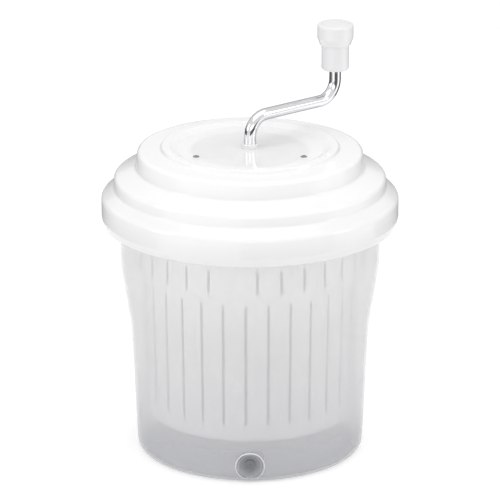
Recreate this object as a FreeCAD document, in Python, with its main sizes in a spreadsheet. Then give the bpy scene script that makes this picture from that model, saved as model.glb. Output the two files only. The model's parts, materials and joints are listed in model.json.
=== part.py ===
import FreeCAD, Part
import math
import os
import re

import Sketcher

# Manual salad spinner, millimetres.
# Frame: origin at the middle of the tub's foot ring, +Z up, the drain on the -Y side.
# A crank turns a planet carrier under the lid. The ring gear stands still and the sun gear turns
# a drive disc, whose lugs sit in notches in the basket's rim, so the basket turns four times as fast.

V = FreeCAD.Vector
UP = V(0, 0, 1)
FORWARD = FreeCAD.Rotation(V(1, 0, 0), 90)   # turns +Z to -Y
SIDEWAYS = FreeCAD.Rotation(V(0, 1, 0), 90)  # turns +Z to +X

SIZES = {
    # tub
    "tub_wall": 3.0, "foot_radius": 165.0, "foot_inner": 146.0, "floor_under": 4.0, "floor_top": 8.0,
    "waist_radius": 172.9, "waist_height": 174.0, "flare_foot_radius": 174.3, "flare_foot": 191.0,
    "flare_top_radius": 186.4, "flare_top": 269.0, "collar_radius": 188.0, "collar_height": 287.0,
    "throat_height": 369.0, "rim_radius": 203.0, "rim_step": 380.0, "rim_height": 386.0,
    "cone_foot": 36.0, "cone_top": 18.0, "boss_height": 46.0,
    # drain
    "drain_height": 25.5, "cup_radius": 22.0, "cup_back": 150.0, "cup_length": 12.5,
    "recess_mouth": 21.5, "recess_inner": 12.5, "recess_back": 155.5, "recess_length": 12.0,
    "drain_bore": 9.5, "drain_tube": 6.5, "dish_foot": 11.8, "dish_depth": 7.8, "dish_wall": 1.6,
    "plug_head": 8.0,
    # pivot
    "pin_radius": 5.0, "pin_top": 76.0, "pin_collar": 9.0, "pin_bottom": 33.0, "run_gap": 0.05,
    "cap_top": 51.9, "bush_bottom": 52.0, "bush_radius": 9.0, "bush_flange": 16.0, "bush_top": 72.0,
    # basket
    "basket_wall": 2.5, "basket_bottom": 56.0, "basket_foot": 153.0, "belt_radius": 157.5,
    "belt_height": 274.0, "upper_radius": 168.0, "upper_height": 278.0, "basket_rim": 345.0,
    "basket_flange": 176.0, "slot_count": 30.0, "slot_width": 4.6, "low_slot_from": 83.0,
    "low_slot_to": 267.0, "high_slot_from": 286.0, "high_slot_to": 321.0, "low_slot_turn": -2.2,
    "high_slot_turn": 3.5, "notch_width": 12.6, "notch_floor": 334.5, "hub_radius": 15.0,
    # lid
    "lid_wall": 2.5, "skirt_radius": 215.0, "skirt_bottom": 344.0, "lip_radius": 212.0,
    "lip_height": 355.0, "brim_height": 383.0, "brim_inner": 197.5, "brim_top": 397.0,
    "shoulder_radius": 196.5, "shoulder_height": 413.0, "shoulder_inner": 165.5,
    "shoulder_top": 426.0, "crown_radius": 162.5, "crown_height": 452.0, "bead_outer": 130.0,
    "bead_foot": 453.5, "bead_radius": 127.0, "bead_top": 459.0, "bead_inner": 117.0,
    "panel_radius": 107.0, "panel_height": 454.0, "panel_wall": 3.0, "screw_circle": 89.0,
    # gear housing under the lid
    "screw_seat": 6.0, "screw_hole": 2.4,
    "housing_radius": 86.0, "plate_wall": 3.5, "ledge_radius": 78.0, "ring_radius": 82.0,
    "ring_top": 435.0, "ring_bottom": 418.0, "housing_bottom": 416.0, "cover_wall": 4.0,
    "lug_radius": 7.0, "screw_core": 2.0,
    # gears
    "gear_module": 2.5, "ring_teeth": 54.0, "planet_teeth": 18.0, "sun_teeth": 18.0,
    "gear_bottom": 420.0, "gear_top": 433.5, "backlash": 0.1,
    # carrier and crank
    "carrier_bottom": 440.0, "carrier_top": 446.5, "carrier_radius": 56.0, "carrier_hub": 16.0,
    "window_circle": 36.0, "window_radius": 11.0,
    "hub_bottom": 434.0, "cross_height": 437.3, "cross_radius": 1.8,
    "planet_pin": 4.0, "rod_radius": 8.5, "rod_bottom": 435.0,
    "arm_height": 499.0, "arm_reach": 161.0, "bend_radius": 29.0, "crank_turned": 39.5,
    "crank_bush_radius": 10.5, "crank_bush_collar": 12.25, "crank_bush_top": 460.0,
    # knob
    "knob_bottom": 542.5, "knob_neck": 579.5, "knob_top": 611.5, "knob_stem": 20.0,
    "knob_head": 26.3, "spigot_radius": 5.0, "spigot_foot": 552.0, "spigot_top": 594.0,
    # output
    "shaft_radius": 9.0, "shaft_hex": 8.6, "hex_top": 396.0, "shaft_bottom": 382.0,
    "output_bush": 12.0, "output_bottom": 398.0, "disc_hub": 17.0, "disc_rim": 161.5,
    "lug_top": 343.0, "lug_bottom": 335.0, "lug_width": 12.0, "lug_count": 6.0,
    "vent_circle": 100.0, "vent_radius": 9.0,
}

GEAR_ANGLE = math.radians(20)  # pressure angle
BOSS_WALL = 4.0                # thickness of the top of the tub's boss

doc = FreeCAD.newDocument("SaladSpinner")
sheet = doc.addObject("Spreadsheet::Sheet", "Sizes")
for row, (alias, value) in enumerate(SIZES.items(), 1):
    sheet.set(f"A{row}", alias)
    sheet.set(f"B{row}", str(value))
    sheet.setAlias(f"B{row}", alias)
doc.recompute()

pieces = []


# ---------------------------------------------------------------- helpers

def bind(size):
    """An expression in aliases, written so that another object can use it."""
    return re.sub(r"[a-z]\w+", lambda word: f"Sizes.{word[0]}" if word[0] in SIZES else word[0], size)


def number(size):
    """The value of an expression in aliases."""
    return float(sheet.evalExpression(bind(size)))


def new_body(label):
    body = doc.addObject("PartDesign::Body", label)
    body.Label = label
    pieces.append(body)
    return body


def new_sketch(body, name, plane, lift=None):
    """A sketch on one of the body's own origin planes, moved along its normal by lift."""
    sketch = body.newObject("Sketcher::SketchObject", name)
    role = next(item for item in body.Origin.OriginFeatures if item.Role == plane)
    sketch.AttachmentSupport = [(role, "")]
    sketch.MapMode = "FlatFace"
    if lift:
        sketch.setExpression("AttachmentOffset.Base.z", bind(lift))
    return sketch


def fix_point(sketch, geometry, point, across, along):
    """Hold a point at a distance from the sketch's origin, or on an axis where it is zero."""
    for kind, size, axis in (("DistanceX", across, -2), ("DistanceY", along, -1)):
        value = number(size)
        if value == 0:
            sketch.addConstraint(Sketcher.Constraint("PointOnObject", geometry, point, axis))
            continue
        index = sketch.addConstraint(
            Sketcher.Constraint(kind, -1, 1, geometry, point, value))
        sketch.setExpression(f"Constraints[{index}]", bind(size))


def outline(body, name, plane, corners, lift=None):
    """A closed outline of straight edges through the corners."""
    sketch = new_sketch(body, name, plane, lift)
    points = [V(number(across), number(along), 0) for across, along in corners]
    count = len(points)
    lines = [Part.LineSegment(points[i], points[(i + 1) % count]) for i in range(count)]
    sketch.addGeometry(lines, False)
    sketch.addConstraint([Sketcher.Constraint("Coincident", i, 2, (i + 1) % count, 1)
                          for i in range(count)])
    for index, (across, along) in enumerate(corners):
        fix_point(sketch, index, 1, across, along)
    return sketch


def circles(body, name, plane, rounds, lift=None):
    """Circles, each given as across, along and radius."""
    sketch = new_sketch(body, name, plane, lift)
    for across, along, radius in rounds:
        centre = V(number(across), number(along), 0)
        index = sketch.addGeometry(Part.Circle(centre, UP, number(radius)), False)
        fix_point(sketch, index, 3, across, along)
        datum = sketch.addConstraint(Sketcher.Constraint("Radius", index, number(radius)))
        sketch.setExpression(f"Constraints[{datum}]", bind(radius))
    return sketch


def turn(body, name, corners):
    """Turn an outline of (radius, height) corners about the Z axis."""
    sketch = outline(body, name + "_outline", "XZ_Plane", corners)
    feature = body.newObject("PartDesign::Revolution", name)
    feature.Profile = sketch
    feature.ReferenceAxis = (sketch, ["V_Axis"])
    feature.Angle = 360
    doc.recompute()
    return feature


def pad(body, name, sketch, length, reverse=False):
    feature = body.newObject("PartDesign::Pad", name)
    feature.Profile = sketch
    feature.Length = number(length)
    feature.setExpression("Length", bind(length))
    feature.Reversed = reverse
    doc.recompute()
    return feature


def pocket(body, name, sketch, length, reverse=False):
    """A pocket that must take material away, which its volume shows."""
    before = body.Tip.Shape.Volume
    feature = body.newObject("PartDesign::Pocket", name)
    feature.Profile = sketch
    feature.Length = number(length)
    feature.setExpression("Length", bind(length))
    feature.Reversed = reverse
    doc.recompute()
    if feature.Shape.Volume > before - 1:
        raise RuntimeError(f"{body.Label}: pocket {name} cuts nothing")
    return feature


def repeat(body, name, feature, count):
    """Repeat a feature all round the Z axis."""
    pattern = body.newObject("PartDesign::PolarPattern", name)
    pattern.Originals = [feature]
    pattern.Axis = (next(item for item in body.Origin.OriginFeatures if item.Role == "Z_Axis"), [""])
    pattern.Angle = 360
    pattern.Occurrences = int(number(count))
    body.Tip = pattern
    doc.recompute()
    return pattern


def round_rings(body, name, radius, rings):
    """Round the circular edges at the given (radius, height) places."""
    doc.recompute()
    base = body.Tip
    wanted = [(number(ring), number(height)) for ring, height in rings]
    chosen = []
    for index, edge in enumerate(base.Shape.Edges, 1):
        curve = edge.Curve
        if not isinstance(curve, Part.Circle) or abs(abs(curve.Axis.z) - 1) > 1e-6:
            continue
        if any(abs(curve.Radius - ring) < 0.01 and abs(curve.Center.z - height) < 0.01
               for ring, height in wanted):
            chosen.append(f"Edge{index}")
    if len(chosen) < len(wanted):
        raise RuntimeError(f"{body.Label}: {name} finds {len(chosen)} of {len(wanted)} edges")
    fillet = body.newObject("PartDesign::Fillet", name)
    fillet.Base = (base, chosen)
    fillet.Radius = radius
    doc.recompute()
    if "Invalid" in fillet.State or fillet.Shape.isNull():
        raise RuntimeError(f"{body.Label}: {name} fails")
    return fillet


def place_primitive(body, kind, name, sizes, base=V(0, 0, 0), rotation=FreeCAD.Rotation()):
    """An additive or subtractive primitive inside a body."""
    feature = body.newObject(f"PartDesign::{kind}", name)
    for field, size in sizes.items():
        setattr(feature, field, number(size))
        feature.setExpression(field, bind(size))
    feature.Placement = FreeCAD.Placement(base, rotation)
    doc.recompute()
    return feature


def around(count, radius, start=0.0):
    """Points on a circle, as expressions in millimetres."""
    for step in range(count):
        angle = math.radians(start + 360 * step / count)
        yield f"{radius} * {math.cos(angle):.9f}", f"{radius} * {math.sin(angle):.9f}"


def group(label, shape):
    """Several equal solids kept as one named piece."""
    feature = doc.addObject("Part::Feature", label)
    feature.Label = label
    feature.Shape = shape
    pieces.append(feature)
    return feature


def hexagon(radius, low, high):
    """A hexagonal solid standing on the Z axis, radius to its corners."""
    corners = [V(radius * math.cos(math.radians(60 * i)), radius * math.sin(math.radians(60 * i)), low)
               for i in range(7)]
    return Part.Face(Part.makePolygon(corners)).extrude(V(0, 0, high - low))


# ---------------------------------------------------------------- tub

def make_tub():
    body = new_body("tub")
    under = f"boss_height - {BOSS_WALL}"
    turn(body, "tub_shell", [
        ("pin_radius + 0.2", under),
        ("cone_top - 4", under),
        ("cone_foot - 6", "floor_under"),
        ("foot_inner - 6", "floor_under"),
        ("foot_inner", "0"),
        ("foot_radius", "0"),
        ("waist_radius", "waist_height"),
        ("flare_foot_radius", "flare_foot"),
        ("flare_top_radius", "flare_top"),
        ("collar_radius", "collar_height"),
        ("collar_radius", "throat_height"),
        ("rim_radius", "rim_step"),
        ("rim_radius", "rim_height"),
        ("rim_radius - tub_wall", "rim_height"),
        ("rim_radius - tub_wall", "rim_step + 1.8"),
        ("collar_radius - tub_wall", "throat_height + 1.8"),
        ("collar_radius - tub_wall", "collar_height"),
        ("flare_top_radius - tub_wall", "flare_top"),
        ("flare_foot_radius - tub_wall", "flare_foot"),
        ("waist_radius - tub_wall", "waist_height"),
        ("foot_radius - tub_wall", "floor_under"),
        ("foot_inner + 1", "floor_under"),
        ("foot_inner - 5", "floor_top"),
        ("cone_foot", "floor_top"),
        ("cone_top", "boss_height"),
        ("pin_radius + 0.2", "boss_height"),
    ])
    round_rings(body, "foot_corner_inside", 9, [("foot_radius - tub_wall", "floor_under")])
    round_rings(body, "foot_corner", 12, [("foot_radius", "0")])
    round_rings(body, "boss_edges", 2, [("cone_top", "boss_height"), ("cone_foot", "floor_top")])
    round_rings(body, "rim_edges", 1, [("rim_radius", "rim_height")])
    back = V(0, -number("cup_back"), number("drain_height"))
    place_primitive(body, "AdditiveCylinder", "drain_cup",
                    {"Radius": "cup_radius", "Height": "cup_length"}, back, FORWARD)
    recess = V(0, -number("recess_back"), number("drain_height"))
    place_primitive(body, "SubtractiveCone", "drain_recess",
                    {"Radius1": "recess_inner", "Radius2": "recess_mouth", "Height": "recess_length"},
                    recess, FORWARD)
    bore = V(0, -number("cup_back") + 5, number("drain_height"))
    place_primitive(body, "SubtractiveCylinder", "drain_hole",
                    {"Radius": "drain_bore", "Height": "cup_length"}, bore, FORWARD)


def lying_turn(label, name, corners, back):
    """Turn an outline about an axis that lies along -Y at the drain's height."""
    body = new_body(label)
    turn(body, name, corners)
    body.Placement = FreeCAD.Placement(V(0, -number(back), number("drain_height")), FORWARD)
    return body


def make_drain():
    """Dished outlet through the tub's wall, its seal, its nut and its push-in plug."""
    seat = "recess_back - cup_back"
    dish_lip = "(dish_foot + (dish_depth - 0.2) * (recess_mouth - recess_inner) / recess_length)"
    lying_turn("drain_bushing", "outlet", [
        ("drain_tube", "-8"),
        ("drain_bore - 0.1", "-8"),
        ("drain_bore - 0.1", f"{seat} + 0.2"),
        ("dish_foot", f"{seat} + 0.2"),
        (dish_lip, f"{seat} + dish_depth"),
        (f"{dish_lip} - dish_wall", f"{seat} + dish_depth"),
        ("dish_foot - dish_wall", f"{seat} + 2.2"),
        ("drain_tube", f"{seat} + 2.2"),
    ], "cup_back")
    lying_turn("drain_seal", "seal", [
        ("drain_bore + 0.2", "-2"),
        ("drain_bore + 6", "-2"),
        ("drain_bore + 6", "0"),
        ("drain_bore + 0.2", "0"),
    ], "cup_back")
    nut = hexagon(number("drain_bore + 7"), -7, -2)
    nut = nut.cut(Part.makeCylinder(number("drain_bore - 0.1"), 6, V(0, 0, -7.5)))
    group("drain_nut", nut).Placement = FreeCAD.Placement(
        V(0, -number("cup_back"), number("drain_height")), FORWARD)
    plug = lying_turn("drain_plug", "stopper", [
        ("0", "-6"),
        ("drain_tube - 1.2", "-6"),
        ("drain_tube - 0.05", "-3"),
        ("drain_tube - 0.05", f"{seat} + 2.5"),
        ("plug_head", f"{seat} + 2.5"),
        ("plug_head", f"{seat} + 4.6"),
        ("2.2", f"{seat} + 4.6"),
        ("2.2", f"{seat} + 6"),
        ("0", f"{seat} + 6"),
    ], "cup_back")
    round_rings(plug, "plug_edge", 0.8, [("plug_head", f"{seat} + 4.6"), ("2.2", f"{seat} + 6")])


def make_pivot():
    """Steel pin on the tub's boss, with the nut and washer in the hollow below it."""
    pin = new_body("pivot_pin")
    turn(pin, "pin", [
        ("0", "pin_bottom"),
        ("pin_radius", "pin_bottom"),
        ("pin_radius", "boss_height"),
        ("pin_collar", "boss_height"),
        ("pin_collar", "boss_height + 2"),
        ("pin_radius", "boss_height + 2"),
        ("pin_radius", "pin_top"),
        ("0", "pin_top"),
    ])
    round_rings(pin, "pin_end", 2, [("pin_radius", "pin_top")])
    washer = new_body("pivot_washer")
    under = f"boss_height - {BOSS_WALL}"
    turn(washer, "washer", [
        ("pin_radius + 0.3", f"{under} - 1.5"),
        ("pin_radius + 6", f"{under} - 1.5"),
        ("pin_radius + 6", under),
        ("pin_radius + 0.3", under),
    ])
    top = number(under) - 1.5
    nut = hexagon(number("pin_radius + 4"), top - 5, top)
    nut = nut.cut(Part.makeCylinder(number("pin_radius"), 8, V(0, 0, top - 6)))
    group("pivot_nut", nut)
    cap = new_body("thrust_cap")
    turn(cap, "cap", [
        ("pin_radius + run_gap", "boss_height + 2.1"),
        ("pin_collar + 0.3", "boss_height + 2.1"),
        ("pin_collar + 0.3", "boss_height"),
        ("cone_top - 1", "boss_height"),
        ("cone_top - 1", "cap_top"),
        ("pin_radius + run_gap", "cap_top"),
    ])
    round_rings(cap, "cap_edge", 1.2, [("cone_top - 1", "cap_top")])


# ---------------------------------------------------------------- basket

def slot_ring(body, name, low, high, start, reach, turned):
    """A ring of upright slots through the basket's wall, cut from the -Y side outwards."""
    sketch = outline(body, name + "_outline", "XZ_Plane", [
        ("-slot_width / 2", low), ("slot_width / 2", low),
        ("slot_width / 2", high), ("-slot_width / 2", high)])
    angle = math.radians(number(turned))
    distance = number(start)
    sketch.AttachmentOffset = FreeCAD.Placement(
        V(distance * math.sin(angle), 0, distance * math.cos(angle)),
        FreeCAD.Rotation(V(0, 1, 0), number(turned)))
    doc.recompute()
    cut = pocket(body, name, sketch, reach, reverse=True)
    repeat(body, name + "_round", cut, "slot_count")


def make_basket():
    body = new_body("basket")
    turn(body, "basket_shell", [
        ("bush_radius", "basket_bottom"),
        ("basket_foot", "basket_bottom"),
        ("belt_radius", "belt_height"),
        ("upper_radius", "upper_height"),
        ("upper_radius + 0.5", "basket_rim - 3"),
        ("basket_flange", "basket_rim - 3"),
        ("basket_flange", "basket_rim"),
        ("upper_radius + 0.5 - basket_wall", "basket_rim"),
        ("upper_radius - basket_wall", "upper_height + 1.4"),
        ("belt_radius - basket_wall", "belt_height + 1.4"),
        ("basket_foot - basket_wall", "basket_bottom + 3"),
        ("hub_radius", "basket_bottom + 3"),
        ("hub_radius", "bush_top + 3"),
        ("bush_radius", "bush_top + 3"),
    ])
    round_rings(body, "basket_corner_inside", 6, [("basket_foot - basket_wall", "basket_bottom + 3")])
    round_rings(body, "basket_corner", 8.5, [("basket_foot", "basket_bottom")])
    round_rings(body, "rim_edge", 1, [("basket_flange", "basket_rim"), ("hub_radius", "bush_top + 3")])
    slot_ring(body, "low_slots", "low_slot_from", "low_slot_to", "basket_foot - 10", "25", "low_slot_turn")
    slot_ring(body, "high_slots", "high_slot_from", "high_slot_to", "upper_radius - 10", "25",
              "high_slot_turn")
    for ring, (near, far, count) in enumerate((("32", "62", 12), ("72", "102", 20), ("112", "140", 30)), 1):
        radial = outline(body, f"floor_slot_{ring}_outline", "XY_Plane", [
            (near, "-slot_width / 2"), (far, "-slot_width / 2"),
            (far, "slot_width / 2"), (near, "slot_width / 2")], "basket_bottom - 2")
        cut = pocket(body, f"floor_slot_{ring}", radial, "8", reverse=True)
        repeat(body, f"floor_slots_{ring}", cut, str(count))
    notch = outline(body, "notch_outline", "YZ_Plane", [
        ("-notch_width / 2", "notch_floor"), ("notch_width / 2", "notch_floor"),
        ("notch_width / 2", "basket_rim + 2"), ("-notch_width / 2", "basket_rim + 2")],
        "upper_radius - 10")
    cut = pocket(body, "notch", notch, "30", reverse=True)
    repeat(body, "notches", cut, "lug_count")
    bush = new_body("basket_bush")
    turn(bush, "bush", [
        ("pin_radius + run_gap", "bush_bottom"),
        ("bush_flange", "bush_bottom"),
        ("bush_flange", "basket_bottom"),
        ("bush_radius", "basket_bottom"),
        ("bush_radius", "bush_top"),
        ("pin_radius + run_gap", "bush_top"),
    ])
    round_rings(bush, "bush_edge", 0.8, [("bush_flange", "bush_bottom")])


# ---------------------------------------------------------------- lid

def make_lid():
    body = new_body("lid")
    brim = "((brim_top - brim_height) / (skirt_radius - brim_inner))"
    brim_under = f"brim_top - 3.2 - {brim} *"
    turn(body, "lid_shell", [
        ("lip_radius", "skirt_bottom"),
        ("skirt_radius", "lip_height"),
        ("skirt_radius", "brim_height"),
        ("brim_inner", "brim_top"),
        ("shoulder_radius", "shoulder_height"),
        ("shoulder_inner", "shoulder_top"),
        ("crown_radius", "crown_height"),
        ("bead_outer", "bead_foot"),
        ("bead_radius", "bead_top"),
        ("bead_inner", "bead_top"),
        ("panel_radius", "panel_height"),
        ("crank_bush_radius", "panel_height"),
        ("crank_bush_radius", "panel_height - panel_wall"),
        ("panel_radius + 0.8", "panel_height - panel_wall"),
        ("bead_inner + 1", "bead_top - lid_wall"),
        ("bead_radius - 2", "bead_top - lid_wall"),
        ("bead_outer - 2", "bead_foot - lid_wall"),
        ("crown_radius - lid_wall", "crown_height - lid_wall"),
        ("shoulder_inner - lid_wall", "shoulder_top - 1.6"),
        ("shoulder_radius - lid_wall", "shoulder_height - 1.6"),
        ("brim_inner - lid_wall", "brim_top - 1.2"),
        ("rim_radius - tub_wall - 0.5", f"{brim_under} (rim_radius - tub_wall - 0.5 - brim_inner)"),
        ("rim_radius - tub_wall - 0.5", "rim_height"),
        ("rim_radius + 0.4", "rim_height"),
        ("rim_radius + 0.4", "rim_height - 4"),
        ("rim_radius + 2.4", "rim_height - 4"),
        ("rim_radius + 2.4", f"{brim_under} (rim_radius + 2.4 - brim_inner)"),
        ("skirt_radius - lid_wall", f"{brim_under} (skirt_radius - lid_wall - brim_inner)"),
        ("skirt_radius - lid_wall", "lip_height"),
        ("lip_radius - lid_wall", "skirt_bottom"),
    ])
    inner_brim = f"{brim_under} (skirt_radius - lid_wall - brim_inner)"
    round_rings(body, "brim_inside", 5, [("skirt_radius - lid_wall", inner_brim)])
    round_rings(body, "brim_edge", 8, [("skirt_radius", "brim_height")])
    round_rings(body, "shoulder_inside", 4, [("shoulder_radius - lid_wall", "shoulder_height - 1.6")])
    round_rings(body, "shoulder_edge", 7, [("shoulder_radius", "shoulder_height")])
    round_rings(body, "crown_inside", 4, [("crown_radius - lid_wall", "crown_height - lid_wall")])
    round_rings(body, "crown_edge", 6.5, [("crown_radius", "crown_height")])
    round_rings(body, "tier_corners", 3, [
        ("brim_inner", "brim_top"), ("shoulder_inner", "shoulder_top")])
    round_rings(body, "bead_edges", 2, [
        ("bead_radius", "bead_top"), ("bead_inner", "bead_top"), ("bead_outer", "bead_foot")])
    round_rings(body, "panel_corner", 5, [("panel_radius", "panel_height")])
    round_rings(body, "lip_edges", 0.8, [("lip_radius", "skirt_bottom")])
    round_rings(body, "skirt_turn", 12, [("skirt_radius", "lip_height")])
    seats = circles(body, "screw_seat_rounds", "XY_Plane",
                    [(x, y, "screw_seat") for x, y in around(3, "screw_circle", 90)], "panel_height - 1.4")
    pocket(body, "screw_seats", seats, "3", reverse=True)
    holes = circles(body, "screw_hole_rounds", "XY_Plane",
                    [(x, y, "screw_hole") for x, y in around(3, "screw_circle", 90)], "panel_height - 6")
    pocket(body, "screw_holes", holes, "8", reverse=True)


# ---------------------------------------------------------------- gear housing

def make_housing():
    under = "panel_height - panel_wall"
    body = new_body("gear_housing")
    turn(body, "housing_shell", [
        ("crank_bush_radius", f"{under} - plate_wall"),
        ("crank_bush_radius", under),
        ("housing_radius", under),
        ("housing_radius", "housing_bottom"),
        ("ring_radius", "housing_bottom"),
        ("ring_radius", "ring_top"),
        ("ledge_radius", "ring_top"),
        ("ledge_radius", f"{under} - plate_wall"),
    ])
    lugs = circles(body, "housing_lug_rounds", "XY_Plane",
                   [(x, y, "lug_radius") for x, y in around(3, "screw_circle", 90)], "housing_bottom")
    pad(body, "housing_lugs", lugs, f"{under} - housing_bottom")
    cores = circles(body, "housing_core_rounds", "XY_Plane",
                    [(x, y, "screw_core") for x, y in around(3, "screw_circle", 90)],
                    "housing_bottom - 1")
    pocket(body, "housing_cores", cores, "40", reverse=True)
    round_rings(body, "housing_edge", 0.8, [("ring_radius", "housing_bottom")])

    cover = new_body("housing_cover")
    low = "housing_bottom - cover_wall"
    turn(cover, "cover_plate", [
        ("output_bush", "output_bottom + 2"),
        ("output_bush + 4", "output_bottom + 2"),
        ("output_bush + 6", low),
        ("housing_radius", low),
        ("housing_radius", "housing_bottom"),
        ("output_bush", "housing_bottom"),
    ])
    lugs = circles(cover, "cover_lug_rounds", "XY_Plane",
                   [(x, y, "lug_radius") for x, y in around(3, "screw_circle", 90)], low)
    pad(cover, "cover_lugs", lugs, "cover_wall")
    holes = circles(cover, "cover_hole_rounds", "XY_Plane",
                    [(x, y, "screw_hole") for x, y in around(3, "screw_circle", 90)], f"{low} - 1")
    pocket(cover, "cover_holes", holes, "8", reverse=True)
    seat = "ring_bottom - housing_bottom"
    ledge = new_sketch(cover, "ring_seat_rounds", "XY_Plane", "housing_bottom")
    for radius in (number("ledge_radius"), number("ring_radius") - 0.05):
        ledge.addGeometry(Part.Circle(V(0, 0, 0), UP, radius), False)
        ledge.addConstraint(Sketcher.Constraint("Coincident", ledge.GeometryCount - 1, 3, -1, 1))
        ledge.addConstraint(Sketcher.Constraint("Radius", ledge.GeometryCount - 1, radius))
    pad(cover, "ring_seat", ledge, seat)

    bush = new_body("crank_bush")
    turn(bush, "bush", [
        ("rod_radius + run_gap", f"{under} - plate_wall"),
        ("crank_bush_radius", f"{under} - plate_wall"),
        ("crank_bush_radius", "panel_height"),
        ("crank_bush_collar", "panel_height"),
        ("crank_bush_collar", "crank_bush_top"),
        ("rod_radius + run_gap", "crank_bush_top"),
    ])
    round_rings(bush, "bush_edge", 1, [("crank_bush_collar", "crank_bush_top")])

    out = new_body("output_bush")
    turn(out, "bush", [
        ("shaft_radius + run_gap", "output_bottom"),
        ("output_bush", "output_bottom"),
        ("output_bush", "housing_bottom"),
        ("output_bush + 4", "housing_bottom"),
        ("output_bush + 4", "housing_bottom + 1.8"),
        ("shaft_radius + run_gap", "housing_bottom + 1.8"),
    ])

    screw_set("lid_screws", number("panel_height") - 1.4, 18, 1)
    screw_set("cover_screws", number(low), 14, -1)


def screw_set(label, seat, length, direction):
    """Three pan-head screws on the screw circle, heads up or down, with a cross recess."""
    screws = []
    for step in range(3):
        angle = math.radians(90 + 120 * step)
        place = V(number("screw_circle") * math.cos(angle), number("screw_circle") * math.sin(angle), seat)
        axis = V(0, 0, direction)
        head = Part.makeCylinder(4.4, 2.6, place, axis)
        rim = [edge for edge in head.Edges
               if isinstance(edge.Curve, Part.Circle) and abs(edge.Curve.Center.z - seat) > 1]
        head = head.makeFillet(1.2, rim)
        shank = Part.makeCylinder(number("screw_core"), length, place, -axis)
        screw = head.fuse(shank)
        for long_side in (True, False):
            across, along = (5.0, 1.0) if long_side else (1.0, 5.0)
            recess = Part.makeBox(across, along, 1.5)
            recess.translate(V(-across / 2, -along / 2, 1.3 if direction > 0 else -2.8) + place)
            screw = screw.cut(recess)
        screws.append(screw.removeSplitter())
    group(label, Part.makeCompound(screws))


# ---------------------------------------------------------------- gears

def involute(base, radius):
    """Angle that an involute from the base circle has turned through at a radius."""
    if radius <= base:
        return 0.0
    pressure = math.acos(base / radius)
    return math.tan(pressure) - pressure


def gear_face(teeth, tip, root, half_angle):
    """The outline of an external gear, first tooth on +X, with involute flanks.

    half_angle is half a tooth's angle at the pitch circle.
    """
    pitch = number("gear_module") * teeth / 2
    base = pitch * math.cos(GEAR_ANGLE)
    start = max(base, root)
    reference = half_angle + involute(base, pitch)
    radii = [start + (tip - start) * step / 6 for step in range(7)]

    def at(radius, angle):
        return V(radius * math.cos(angle), radius * math.sin(angle), 0)

    edges = []
    step_angle = 2 * math.pi / teeth
    for tooth in range(teeth):
        middle = tooth * step_angle
        rising = [at(radius, middle - reference + involute(base, radius)) for radius in radii]
        falling = [at(radius, middle + reference - involute(base, radius)) for radius in reversed(radii)]
        root_start = at(root, middle - reference + involute(base, start))
        root_end = at(root, middle + reference - involute(base, start))
        next_root = at(root, middle + step_angle - reference + involute(base, start))
        if start > root:
            edges.append(Part.LineSegment(root_start, rising[0]).toShape())
        flank = Part.BSplineCurve()
        flank.interpolate(rising)
        edges.append(flank.toShape())
        edges.append(Part.Arc(rising[-1], at(tip, middle), falling[0]).toShape())
        flank = Part.BSplineCurve()
        flank.interpolate(falling)
        edges.append(flank.toShape())
        if start > root:
            edges.append(Part.LineSegment(falling[-1], root_end).toShape())
        edges.append(Part.Arc(root_end, at(root, middle + step_angle / 2), next_root).toShape())
    return Part.Face(Part.Wire(edges))


def gear_solid(teeth, addendum, dedendum, thinner):
    """An extruded gear; thinner is taken off each flank, or added where it is negative."""
    size = number("gear_module")
    pitch = size * teeth / 2
    half_angle = (math.pi * size / 4 - thinner) / pitch
    face = gear_face(teeth, pitch + addendum * size, pitch - dedendum * size, half_angle)
    solid = face.extrude(V(0, 0, number("gear_top - gear_bottom")))
    solid.translate(V(0, 0, number("gear_bottom")))
    return solid


def make_gears():
    backlash = number("backlash")
    ring_teeth, planet_teeth, sun_teeth = (int(number(name)) for name in
                                           ("ring_teeth", "planet_teeth", "sun_teeth"))

    space = gear_solid(ring_teeth, 1.25, 0.9, -backlash)
    space.rotate(V(0, 0, 0), UP, 180 / ring_teeth)
    low, high = number("ring_bottom"), number("ring_top")
    ring = Part.makeCylinder(number("ring_radius"), high - low, V(0, 0, low))
    bore = Part.makeCylinder(number("gear_module") * (ring_teeth / 2 - 0.9) - 0.01, high - low, V(0, 0, low))
    for height in (low, number("gear_top")):
        relief = Part.makeCylinder(number("gear_module") * (ring_teeth / 2 + 1.25),
                                   (number("gear_bottom") if height == low else high) - height,
                                   V(0, 0, height))
        bore = bore.fuse(relief)
    group("ring_gear", ring.cut(bore.fuse(space)).removeSplitter())

    distance = number("gear_module * (sun_teeth + planet_teeth) / 2")
    for index in range(3):
        tooth_solid = gear_solid(planet_teeth, 1.0, 1.25, backlash)
        hole = Part.makeCylinder(number("planet_pin + run_gap"), 40, V(0, 0, number("gear_bottom") - 10))
        gear = tooth_solid.cut(hole)
        gear.rotate(V(0, 0, 0), UP, 180 / planet_teeth + 120 * index)
        angle = math.radians(120 * index)
        gear.translate(V(distance * math.cos(angle), distance * math.sin(angle), 0))
        group(f"planet_gear_{index + 1}", gear)

    sun = gear_solid(sun_teeth, 1.0, 1.25, backlash)
    collar_low = number("housing_bottom") + 1.9
    collar = Part.makeCylinder(number("output_bush"), number("gear_bottom") - collar_low, V(0, 0, collar_low))
    shaft = Part.makeCylinder(number("shaft_radius"), number("gear_bottom - hex_top"),
                              V(0, 0, number("hex_top")))
    drive = hexagon(number("shaft_hex"), number("shaft_bottom"), number("hex_top"))
    thread = Part.makeCylinder(3, 20, V(0, 0, number("shaft_bottom")))
    sun = sun.fuse([collar, shaft, drive]).cut(thread).removeSplitter()
    group("sun_gear", sun)


# ---------------------------------------------------------------- carrier, crank, knob

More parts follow.
